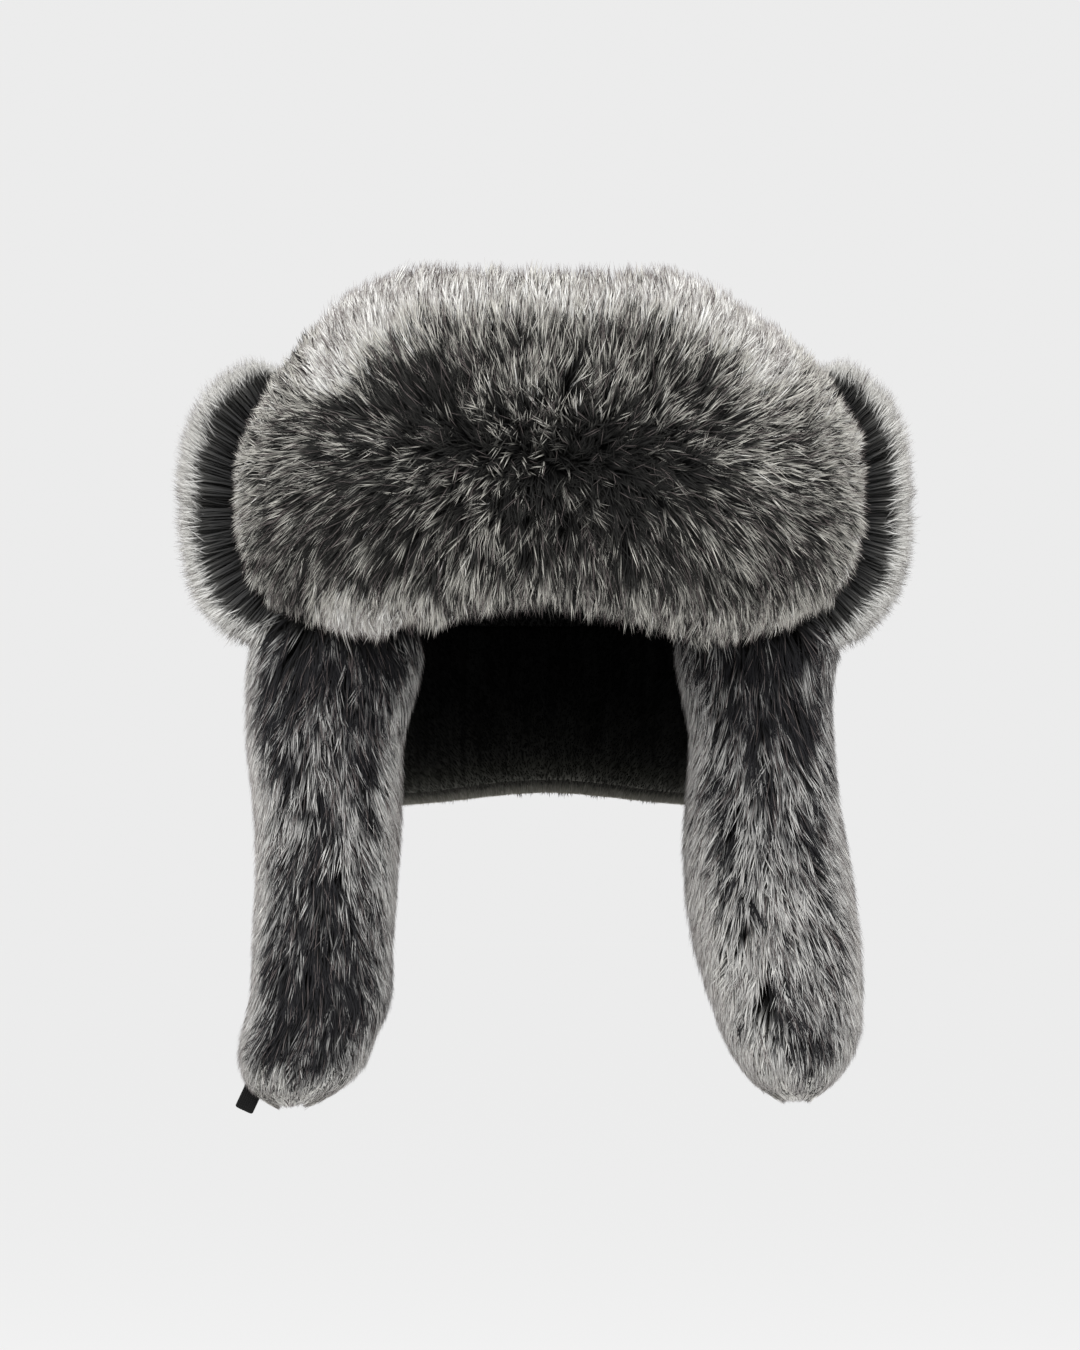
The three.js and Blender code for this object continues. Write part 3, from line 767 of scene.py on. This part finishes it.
neck_limits = roll_limits(*NECK_ENDS, 0)
neck_chunks = [
    undercoat(neck_roll, np.linspace(*NECK_ENDS, 60), np.linspace(-88, 60, 24),
              thicker_below(0.55, 0.4, 35, 80)),
    strands(neck_roll, locks=4400, each=3, u_range=NECK_ENDS, v_range=(-80, 75), comb=hanging(20),
            tone=even(0.34), width=0.9, tips=(0.9, 0.97), limits=neck_limits),
    strands(neck_roll, locks=4500, each=2, u_range=NECK_ENDS, v_range=(-88, -60), comb=hanging(3),
            tone=even(0.5), width=0.8, root=0.8, tips=(0.985, 1.0), fringe=0, spread=0.8, curl=0.5,
            patchy=0.3, limits=neck_limits),
    inner_rim(9000),
]
make_piece("neck_fur_hair", neck_chunks, dark_fur, ["neck_fur"])


# Cloth

def run_along(points, axis):
    """The length run so far along the lines of a grid of points."""
    steps = np.cumsum(np.linalg.norm(np.diff(points, axis=axis), axis=-1), axis)
    return np.concatenate([np.zeros_like(steps.take([0], axis)), steps], axis)


def slab_chunk(inner, outer):
    """A closed sheet between two grids of points, with the length along it in metres on its map."""
    rows, columns = inner.shape[:2]
    middle = (inner + outer) / 2
    uv = np.stack([run_along(middle, 1), run_along(middle, 0)], -1).reshape(-1, 2) * MM
    size = rows * columns
    front = grid_faces(rows, columns)
    index = np.arange(size).reshape(rows, columns)
    rim = np.concatenate([index[0, :-1], index[:-1, -1], index[-1, :0:-1], index[:0:-1, 0]])
    after = np.roll(rim, -1)
    sides = np.stack([rim, after, after + size, rim + size], -1)
    faces = np.concatenate([front[:, ::-1], front + size, sides])
    corners = faces.reshape(-1)
    points = np.concatenate([inner.reshape(-1, 3), outer.reshape(-1, 3)])
    return points, corners, np.full(len(faces), 4), uv[corners % size]


def eased(count, reach=0.12):
    """Steps from 0 to 1 that are finer near both ends."""
    t = np.linspace(0, 1, count)
    return (1 - reach * 2) * t + reach * 2 * (t - np.sin(2 * np.pi * t) / (2 * np.pi))


def edge_round(rows, columns, reach):
    """How full a sheet is, from 0.25 at its edges to 1 inside: reach is in steps of the two ways."""
    fullness = []
    for count, steps in ((rows, reach[0]), (columns, reach[1])):
        inside = np.minimum(np.arange(count), np.arange(count)[::-1]) / steps
        fullness.append(0.25 + 0.75 * np.sqrt(1 - (1 - np.clip(inside, 0, 1)) ** 2))
    return np.minimum.outer(*fullness)


def cloth_material(name, dark, light, roughness, thread_width, twill=0.0, bump=0.0002):
    """Woven cloth: threads both ways, or a slanting twill, over a faint cloudiness."""
    material, nodes, link, shader = new_material(name, roughness, 0.12)
    uv = map_node(nodes, "cloth")
    bands = {"Scale": 0.31 / thread_width, "Distortion": 0.6, "Detail": 2, "Detail Scale": 2}
    heights = []
    for angle in ((0.0, math.pi / 2) if not twill else (twill, -twill / 3)):
        turned = new_node(nodes, "Mapping", {"Rotation": (0, 0, angle)})
        wave = new_node(nodes, "TexWave", bands)
        link(uv, turned.inputs[0])
        link(turned.outputs[0], wave.inputs[0])
        heights.append(wave.outputs["Fac"])
    weave = math_node(nodes, link, "MULTIPLY", *heights)
    cloud = new_node(nodes, "TexNoise", {"Scale": 38, "Detail": 6, "Roughness": 0.65})
    link(new_node(nodes, "TexCoord").outputs["Object"], cloud.inputs["Vector"])
    cloudy = math_node(nodes, link, "MULTIPLY", cloud.outputs["Fac"], 0.6)
    ramp = colour_ramp(nodes, [(0.15, dark), (0.85, light)])
    link(math_node(nodes, link, "MULTIPLY_ADD", weave, 0.55, cloudy), ramp.inputs[0])
    link(ramp.outputs[0], shader.inputs["Base Color"])
    lift = new_node(nodes, "Bump", {"Strength": 0.6, "Distance": bump})
    link(weave, lift.inputs["Height"])
    link(lift.outputs[0], shader.inputs["Normal"])
    return material


def plush_painted_shade_material(name, heights):
    """Black plush with painted light and shade: lighter along its lower edge and darker higher up inside the
    hat, and faintly streaked up and down.
    """
    material, nodes, link, shader = new_material(name, 0.95, 0.05)
    uv = map_node(nodes, "cloth")
    split = new_node(nodes, "SeparateXYZ")
    link(uv, split.inputs[0])
    ramp = colour_ramp(nodes, [(height / PLUSH_SHADE_SPAN, colour) for height, colour in heights])
    link(math_node(nodes, link, "DIVIDE", split.outputs[1], PLUSH_SHADE_SPAN * MM), ramp.inputs[0])
    stretched = new_node(nodes, "Mapping", {"Scale": (300, 25, 1)})
    link(uv, stretched.inputs[0])
    streaks = new_node(nodes, "TexNoise", {"Scale": 1.0, "Detail": 3})
    link(stretched.outputs[0], streaks.inputs["Vector"])
    strength = new_node(nodes, "MapRange", {"From Min": 0.3, "From Max": 0.7, "To Min": 0.6, "To Max": 1.5})
    link(streaks.outputs["Fac"], strength.inputs["Value"])
    scaled = new_node(nodes, "VectorMath")
    scaled.operation = "SCALE"
    link(ramp.outputs[0], scaled.inputs[0])
    link(strength.outputs[0], scaled.inputs["Scale"])
    link(scaled.outputs[0], shader.inputs["Base Color"])
    return material


PLUSH_SHADE_SPAN = 72  # how high the plush's painted light and shade reach
crown_cloth = cloth_material("black_wool_twill", grey(0.003), grey(0.014, 0.02), 0.85, 0.0011, twill=0.8)
# painted light and shade by height above the flap's lower edge: lightest at the edge, near black higher up
# inside the hat
plush = plush_painted_shade_material("black_plush_painted_shade", [
    (0, (0.085, 0.084, 0.075)), (3.5, (0.040, 0.040, 0.035)), (7, (0.022, 0.022, 0.019)),
    (12, (0.013, 0.013, 0.012)), (20, (0.007, 0.007, 0.0065)), (40, (0.003, 0.003, 0.003))])
webbing = cloth_material("black_webbing", grey(0.004), grey(0.014), 0.6, 0.0009, bump=0.0004)
thread = cloth_material("black_thread", grey(0.02), grey(0.05), 0.55, 0.0004)

CROWN_RUN = 120  # about how far it is over the crown from its rim to its top
PUFF, SEAM_DIP = 1.2, 1.6  # how far a padded panel swells, and how far its sewn edges pull in
PANEL_GAP = 0.12  # degrees left free along each of its two seams
STITCH_IN, STITCH_UP = 5, 6  # how far the topstitching runs inside the seams and above the rim
STITCH_DEPTH = 0.45  # how deep it sinks into the padding


def dome(ellipse, top, turn, share):
    """The crown's surface, as its solids have it."""
    lift = np.radians(90 * share)
    off = np.abs((turn + 180) % 360 - 180)
    rim = CROWN_RIM + BROW["raise"] * ramp01(BROW["from"] - off, 0, BROW["from"] - BROW["to"])
    z = rim + (top - rim) * squared(np.sin(lift), CROWN_POWER)
    seam = 1 - np.sqrt(np.abs(np.sin(np.radians(2 * turn))))
    pull = squared(np.cos(lift), CROWN_POWER) * (1 - CROWN_SEAM_PULL * seam * np.minimum(1, 3 * share))
    sine, cosine = sine_cosine(turn)
    return np.stack([ellipse[0] * sine * pull, -ellipse[1] * cosine * pull, z], -1)


def crown_faces(turn, share):
    """The outside and the inside of the crown."""
    return dome(CROWN_OUTSIDE, CROWN_TOP, turn, share), dome(HEAD, CROWN_TOP - CROWN_WALL, turn, share)


def crown_panel(first_turn):
    turns = first_turn + PANEL_GAP + (90 - 2 * PANEL_GAP) * eased(46, 0.35)
    shares = 0.9995 * eased(40, 0.2)
    turn, share = np.meshgrid(turns, shares, indexing="xy")
    outer, inner = crown_faces(turn, share)
    way = unit(outer - inner)
    from_seam = np.minimum(turn - first_turn, first_turn + 90 - turn)
    to_seam = from_seam * np.radians(1) * np.hypot(outer[..., 0], outer[..., 1])
    to_rim = share * CROWN_RUN
    near = np.exp(-((to_seam / 2.2) ** 2))
    beside, above = (to_seam - STITCH_IN) / 0.9, (to_rim - STITCH_UP) / 0.9
    stitch = 0.5 * np.exp(-(beside**2)) + 0.5 * np.exp(-(above**2))
    swell = PUFF * ramp01(to_seam, STITCH_IN, 26) * ramp01(to_rim, STITCH_UP, 20)
    outer = outer + way * (swell - SEAM_DIP * near - stitch - PUFF * 0.5)[..., None]
    inner = inner + way * (0.8 * near)[..., None]
    return slab_chunk(inner, outer)


def stitches(line, outward, length=3.0, gap=1.4, thick=0.5):
    """Short raised stitches along a line of points."""
    chunks = []
    step = np.linalg.norm(np.diff(line, axis=0), axis=1)
    run = np.concatenate([[0], np.cumsum(step)])
    for start in np.arange(1.0, run[-1] - length, length + gap):
        at = np.array([start, start + length * 0.25, start + length * 0.75, start + length])
        middle = np.stack([np.interp(at, run, line[:, i]) for i in range(3)], -1)
        up = unit(np.stack([np.interp(at, run, outward[:, i]) for i in range(3)], -1))
        side = unit(np.cross(np.gradient(middle, axis=0), up))
        height = np.array([-0.35, 0.3, 0.3, -0.35])[:, None] * thick
        girth = np.array([0.55, 1, 1, 0.55])[:, None] * thick
        ring = [middle + up * (height + girth * b * 0.5) + side * girth * a * 0.5
                for a, b in ((1, 0), (0.6, 0.8), (-0.6, 0.8), (-1, 0), (-0.6, -0.8), (0.6, -0.8))]
        points = np.stack(ring, 1)
        uv = np.stack(np.meshgrid(np.arange(4) * 1.0, np.arange(6) * 0.3, indexing="ij"), -1) * MM
        chunks.append(sheet_chunk(points, uv, wrap=True))
    return chunks


def seam_lines(first_turn):
    """The lines of topstitching of one crown panel, with their outward ways."""
    paths = []
    rim_share = STITCH_UP / CROWN_RUN
    shares = np.linspace(rim_share, 0.94, 90)
    for seam, way in ((first_turn, 1), (first_turn + 90, -1)):
        turn = np.full_like(shares, seam)
        for _ in range(6):  # settles at its distance from the seam
            x, y = np.moveaxis(dome(CROWN_OUTSIDE, CROWN_TOP, turn, shares), -1, 0)[:2]
            turn = seam + way * np.minimum(np.degrees(STITCH_IN / np.hypot(x, y)), 40)
        paths.append((turn, shares))
    turns = np.linspace(first_turn + 3, first_turn + 87, 60)
    paths.append((turns, np.full_like(turns, rim_share)))
    lines = []
    for turn, share in paths:
        outer, inner = crown_faces(turn, share)
        up = unit(outer - inner)
        lines.append((outer - up * (PUFF * 0.5 + STITCH_DEPTH), up))
    return lines


CROWN_PANELS = {"front_right": 0, "back_right": 90, "back_left": 180, "front_left": 270}
stitch_chunks = []
for side, first in CROWN_PANELS.items():
    panel = make_piece("crown_panel_" + side, [crown_panel(first)], crown_cloth,
                       ["crown_" + side], "cloth")
    for line, up in seam_lines(first):
        stitch_chunks += stitches(line, up)
make_piece("crown_topstitching", stitch_chunks, thread, uv_name="cloth")


def wall_chunk(inside, thickness, turns, low, high, rows, ripple):
    """A cloth wall round the head with rounded edges and a faint unevenness, from low to high."""
    share = eased(rows, 0.3)
    turn, up = np.meshgrid(turns, share, indexing="xy")
    z = low * (1 - up) + high * up
    wobble = ripple * (np.sin(turn * 0.35) * np.sin(z * 0.11) + 0.5 * np.sin(turn * 0.9 + z * 0.05))
    full = edge_round(rows, len(turns), (4, 4)) * thickness / 2
    middle = thickness / 2 + wobble
    return slab_chunk(around(inside, turn, middle - full, z), around(inside, turn, middle + full, z))


facing_turns = -FACING_TURN + 2 * FACING_TURN * eased(80, 0.3)
past = np.clip(np.abs(facing_turns) - FACING_TURN + FACING_CORNER, 0, FACING_CORNER) / FACING_CORNER
corner = FACING_CORNER * (1 - np.sqrt(np.maximum(1 - past**2, 0)))
facing_low, facing_high = smooth(FRONT_FUR)(facing_turns)[:2]
facing_low = facing_low + FACING_INSET[0] + corner
facing_high = facing_high - FACING_INSET[1] - corner
facing_wall = wall_chunk(FACING_INSIDE, FACING_WALL, facing_turns, facing_low, facing_high, 30, 0.0)
facing = make_piece("front_flap_cloth", [facing_wall], crown_cloth, ["front_flap_facing"],
                    "cloth")


neck_turns = NECK_TURNS[0] + (NECK_TURNS[1] - NECK_TURNS[0]) * eased(120, 0.2)
neck_low_edge = neck_edge_at(neck_turns)[0]
neck_wall = wall_chunk(HEAD, NECK_WALL, neck_turns, neck_low_edge, CROWN_RIM - GAP, 34, 0.25)
neck = make_piece("neck_flap_plush", [neck_wall], plush, ["neck_flap"], "cloth")


PILE_PAST = (1, 9)  # how far the pile goes below the flap's edge and above the crown's rim


def pile(count):
    """The plush's short pile, on the inside of the neck flap and of the crown's rim."""
    turn = rng.uniform(NECK_TURNS[0] + 0.5, NECK_TURNS[1] - 0.5, count)
    low = neck_edge_at(turn)[0]
    up = rng.random(count)
    z = low - PILE_PAST[0] + (CROWN_RIM + sum(PILE_PAST) - low) * up
    root = around(HEAD, turn, np.full(count, 0.2), z)
    inward = around(HEAD, turn, np.full(count, -1.0), z) - around(HEAD, turn, np.zeros(count), z)
    lean = np.stack([rng.normal(middle, 0.25, count) for middle in (0, 0, -0.9)], -1)
    tip = root + inward * rng.uniform(1.2, 1.9, count)[:, None] + lean * 1.6
    across = (turn * np.radians(1) * HEAD.mean() * MM)[:, None] + np.array([0, 0.0005, 0.0002])
    # its height on the map gives the pile the plush's painted light and shade
    places = np.stack([across, ((z - low) * MM)[:, None] + np.array([0, 0, 0.0005])], -1)
    return blades(root, tip, 0.35, places)


make_piece("neck_flap_pile", [pile(24000)], plush, uv_name="cloth")


def strap_chunk():
    """The strap's end, folded double over its last stretch, with rounded edges and a woven rib."""
    thick, fold, length = STRAP["thick"], STRAP["fold"], STRAP["length"]
    across = np.linspace(-1, 1, 25)
    rib = 1 - 0.10 * (1 + np.cos(across * 9 * np.pi)) / 2
    half = thick / 2 * np.sqrt(1 - np.abs(across) ** 6) * rib
    bend = np.linspace(0, np.pi, 9)
    path = [(thick / 2, z) for z in np.linspace(length, thick, 36)]
    path += [(thick - thick / 2 * np.cos(a), thick * (1 - 0.75 * np.sin(a))) for a in bend]
    path += [(thick * 1.5, z) for z in np.linspace(thick + 0.6, fold, 16)]
    path = np.array(path)
    way = unit(np.gradient(path, axis=0))
    normal = np.stack([way[:, 1], -way[:, 0]], -1)
    sine, cosine = math.sin(math.radians(STRAP["lean"])), math.cos(math.radians(STRAP["lean"]))
    sides = []
    for sign in (-1, 1):
        flat = path[:, None] + sign * normal[:, None] * half[None, :, None] * 0.97
        y, z = flat[..., 0], flat[..., 1]
        x = np.broadcast_to(across * STRAP["width"] / 2, y.shape)
        points = np.stack([x * cosine + z * sine, y, -x * sine + z * cosine], -1)
        sides.append(points + np.array(STRAP["end"]))
    return slab_chunk(*sides)


strap = make_piece("strap_end_webbing", [strap_chunk()], webbing, ["strap_end"], "cloth")


# The studio. Its sizes are in metres.

LIGHTS = [  # name, place, size, power
    ("key", (-0.9, -2.2, 1.7), 1.6, 46),
    ("fill", (1.6, -2.4, 0.5), 1.8, 22),
    ("top", (0.0, 0.5, 2.2), 1.5, 30),
]
PALE_GREY = 0.838  # the studio's own light
FLOOR = {"radius": 14, "corners": 64, "z": -0.45, "albedo": 0.2}
CAMERA = {"place": (-0.0029, -5, -0.0231), "distance": 5, "sensor": 36, "long side": 0.567}

for name, place, size, power in LIGHTS:
    light = bpy.data.lights.new(name, "AREA")
    light.energy, light.size = power, size
    lamp = bpy.data.objects.new(name, light)
    lamp.location = place
    to_hat = np.zeros(3) - np.array(place)
    lamp.rotation_mode = "QUATERNION"
    lamp.rotation_quaternion = Vector(to_hat).to_track_quat("-Z", "Y")
    bpy.context.scene.collection.objects.link(lamp)

world = bpy.data.worlds.new("studio")
bpy.context.scene.world = world
world.use_nodes = True
sky = world.node_tree.nodes["Background"].inputs
sky[0].default_value = (PALE_GREY,) * 3 + (1,)
sky[1].default_value = 1.0

floor_mesh = bpy.data.meshes.new("floor")
floor_turns = [2 * math.pi * i / FLOOR["corners"] for i in range(FLOOR["corners"])]
ring = [(math.cos(t) * FLOOR["radius"], math.sin(t) * FLOOR["radius"], FLOOR["z"]) for t in floor_turns]
floor_mesh.from_pydata(ring, [], [list(range(FLOOR["corners"]))])
floor = bpy.data.objects.new("floor", floor_mesh)
bpy.context.scene.collection.objects.link(floor)
floor_paint, _, _, floor_shader = new_material("floor", 0.9, 0.0)
floor_shader.inputs["Base Color"].default_value = (FLOOR["albedo"],) * 3 + (1,)
floor_shader.inputs["Emission Color"].default_value = (1, 1, 1, 1)
floor_shader.inputs["Emission Strength"].default_value = PALE_GREY * (1 - FLOOR["albedo"])
floor_mesh.materials.append(floor_paint)

camera_data = bpy.data.cameras.new("camera")
camera = bpy.data.objects.new("camera", camera_data)
bpy.context.scene.collection.objects.link(camera)
camera.location = CAMERA["place"]
camera.rotation_euler = (math.pi / 2, 0, 0)
camera_data.sensor_fit = "AUTO"
camera_data.sensor_width = CAMERA["sensor"]
camera_data.lens = CAMERA["sensor"] * CAMERA["distance"] / CAMERA["long side"]  # fills the frame's height
camera_data.clip_end = 100
bpy.context.scene.camera = camera
bpy.context.scene.view_settings.view_transform = "Standard"
